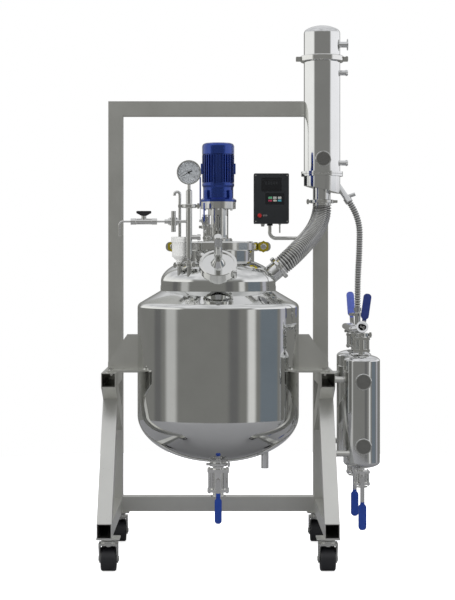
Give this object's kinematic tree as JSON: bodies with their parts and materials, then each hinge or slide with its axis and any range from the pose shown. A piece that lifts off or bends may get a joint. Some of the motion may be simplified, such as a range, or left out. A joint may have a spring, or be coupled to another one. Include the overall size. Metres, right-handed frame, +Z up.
{
  "type": "jacketed stirred reactor",
  "caption": "Jacketed stainless steel stirred reactor on a wheeled square-tube stand, with lid drive, gauge, charging port, reflux condenser, hoses and receivers.",
  "frame": {"origin": "on the floor, under the middle of the whole footprint", "axes": "+Z up, +X to the right seen from the front, +Y to the rear"},
  "size_m": [1.1644, 0.782, 2.283],
  "materials": {
    "frame_steel": "satin polished square tube",
    "polished_steel": "mirror polished stainless steel",
    "satin_steel": "fine machined and polished",
    "motor_blue": "gloss paint",
    "handle_blue": "dipped vinyl sleeve on a steel lever",
    "black_plastic": "fine textured",
    "panel_grey": "smooth",
    "red_plastic": "smooth",
    "white_plastic": "smooth fluoropolymer",
    "glass": "clear",
    "pointer_black": "matt paint",
    "brass": "bright",
    "black_rubber": "matt",
    "corrugated_steel": "corrugated metal hose"
  },
  "bodies": {
    "stand": {"ball_valve_bodies": "satin_steel", "bolts": "satin_steel", "brackets": "frame_steel", "caster_plates": "frame_steel", "charging_clamp": "satin_steel", "charging_cover": "polished_steel", "condenser_base": "polished_steel", "condenser_bundle": "polished_steel", "condenser_cap": "polished_steel", "condenser_shell": "polished_steel", "control_arm": "frame_steel", "control_box": "black_plastic", "control_panel": "panel_grey", "drain_hose": "corrugated_steel", "feed_cup": "white_plastic", "gaskets": "white_plastic", "gauge_case": "satin_steel", "glasses": "glass", "inner_vessel": "polished_steel", "instrument_column": "satin_steel", "jacket_cladding": "polished_steel", "jacket_wall": "polished_steel", "lantern": "satin_steel", "lid_clamp": "satin_steel", "lid_clamp_nuts": "brass", "lid_plate": "polished_steel", "motor_bell": "motor_blue", "motor_fan_cowl": "motor_blue", "motor_frame": "motor_blue", "portal_frame": "frame_steel", "receiver_pipework": "polished_steel", "receivers": "polished_steel", "sample_line": "satin_steel", "shaft_seal": "satin_steel", "side_rails": "frame_steel", "side_struts": "frame_steel", "tri_clamps": "satin_steel", "vapour_hose": "corrugated_steel", "vessel_head": "polished_steel", "vessel_lugs": "frame_steel"},
    "agitator": {"agitator_shaft": "polished_steel", "agitator_impeller": "polished_steel"},
    "needle_valve_handle": {"needle_valve_handle": "black_plastic"},
    "gauge_pointer": {"gauge_needle": "pointer_black"},
    "stop_button": {"stop_button": "red_plastic"},
    "front_left_caster": {"front_left_fork": "frame_steel"},
    "front_left_wheel": {"front_left_wheel": "black_rubber"},
    "front_right_caster": {"front_right_fork": "frame_steel"},
    "front_right_wheel": {"front_right_wheel": "black_rubber"},
    "rear_left_caster": {"rear_left_fork": "frame_steel"},
    "rear_left_wheel": {"rear_left_wheel": "black_rubber"},
    "rear_right_caster": {"rear_right_fork": "frame_steel"},
    "rear_right_wheel": {"rear_right_wheel": "black_rubber"},
    "outlet_lever": {"outlet_lever": "handle_blue"},
    "lid_front_lever": {"lid_front_lever": "handle_blue"},
    "lid_rear_lever": {"lid_rear_lever": "handle_blue"},
    "receiver_front_top_lever": {"receiver_front_top_lever": "handle_blue"},
    "receiver_rear_top_lever": {"receiver_rear_top_lever": "handle_blue"},
    "receiver_front_bottom_lever": {"receiver_front_bottom_lever": "handle_blue"},
    "receiver_rear_bottom_lever": {"receiver_rear_bottom_lever": "handle_blue"}
  },
  "joints": [
    {"name": "front_left_swivel", "type": "hinge", "parent": "stand", "child": "front_left_caster", "pos_m": [-0.53525, -0.346, 0.11795], "axis": [0, 0, 1], "continuous": true},
    {"name": "front_left_roll", "type": "hinge", "parent": "front_left_caster", "child": "front_left_wheel", "pos_m": [-0.53525, -0.326, 0.05], "axis": [1, 0, 0], "continuous": true},
    {"name": "front_right_swivel", "type": "hinge", "parent": "stand", "child": "front_right_caster", "pos_m": [0.34875, -0.346, 0.11795], "axis": [0, 0, 1], "continuous": true},
    {"name": "front_right_roll", "type": "hinge", "parent": "front_right_caster", "child": "front_right_wheel", "pos_m": [0.34875, -0.326, 0.05], "axis": [1, 0, 0], "continuous": true},
    {"name": "rear_left_swivel", "type": "hinge", "parent": "stand", "child": "rear_left_caster", "pos_m": [-0.53525, 0.321, 0.11795], "axis": [0, 0, 1], "continuous": true},
    {"name": "rear_left_roll", "type": "hinge", "parent": "rear_left_caster", "child": "rear_left_wheel", "pos_m": [-0.53525, 0.341, 0.05], "axis": [1, 0, 0], "continuous": true},
    {"name": "rear_right_swivel", "type": "hinge", "parent": "stand", "child": "rear_right_caster", "pos_m": [0.34875, 0.321, 0.11795], "axis": [0, 0, 1], "continuous": true},
    {"name": "rear_right_roll", "type": "hinge", "parent": "rear_right_caster", "child": "rear_right_wheel", "pos_m": [0.34875, 0.341, 0.05], "axis": [1, 0, 0], "continuous": true},
    {"name": "agitator_spin", "type": "hinge", "parent": "stand", "child": "agitator", "pos_m": [-0.09325, -0.015, 0.53], "axis": [0, 0, 1], "continuous": true},
    {"name": "outlet_turn", "type": "hinge", "parent": "stand", "child": "outlet_lever", "pos_m": [-0.09325, -0.015, 0.32195], "axis": [0, -1, 0], "range_deg": [0, 90]},
    {"name": "lid_front_turn", "type": "hinge", "parent": "stand", "child": "lid_front_lever", "pos_m": [-0.13125, -0.099, 1.374], "axis": [-1, 0, 0], "range_deg": [-90, 0]},
    {"name": "lid_rear_turn", "type": "hinge", "parent": "stand", "child": "lid_rear_lever", "pos_m": [-0.14925, 0.069, 1.424], "axis": [-1, 0, 0], "range_deg": [0, 90]},
    {"name": "receiver_front_top_turn", "type": "hinge", "parent": "stand", "child": "receiver_front_top_lever", "pos_m": [0.50575, -0.112, 0.90205], "axis": [0, 1, 0], "range_deg": [-8, 82]},
    {"name": "receiver_rear_top_turn", "type": "hinge", "parent": "stand", "child": "receiver_rear_top_lever", "pos_m": [0.50575, 0.251, 0.90205], "axis": [0, 1, 0], "range_deg": [-86, 4]},
    {"name": "receiver_front_bottom_turn", "type": "hinge", "parent": "stand", "child": "receiver_front_bottom_lever", "pos_m": [0.50575, -0.112, 0.34695], "axis": [0, -1, 0], "range_deg": [0, 90]},
    {"name": "receiver_rear_bottom_turn", "type": "hinge", "parent": "stand", "child": "receiver_rear_bottom_lever", "pos_m": [0.50575, 0.251, 0.34695], "axis": [0, -1, 0], "range_deg": [0, 90]},
    {"name": "needle_valve_turn", "type": "hinge", "parent": "stand", "child": "needle_valve_handle", "pos_m": [-0.39925, -0.21, 1.4136], "axis": [0, 0, 1], "range_deg": [0, 270]},
    {"name": "gauge_reading", "type": "hinge", "parent": "stand", "child": "gauge_pointer", "pos_m": [-0.21325, -0.21, 1.615], "axis": [0, 1, 0], "range_deg": [-17, 253]},
    {"name": "stop_button_press", "type": "slide", "parent": "stand", "child": "stop_button", "axis": [0, 1, 0], "range_m": [0, 0.003], "stiffness_N_per_m": 400, "springref_m": -0.001}
  ]
}
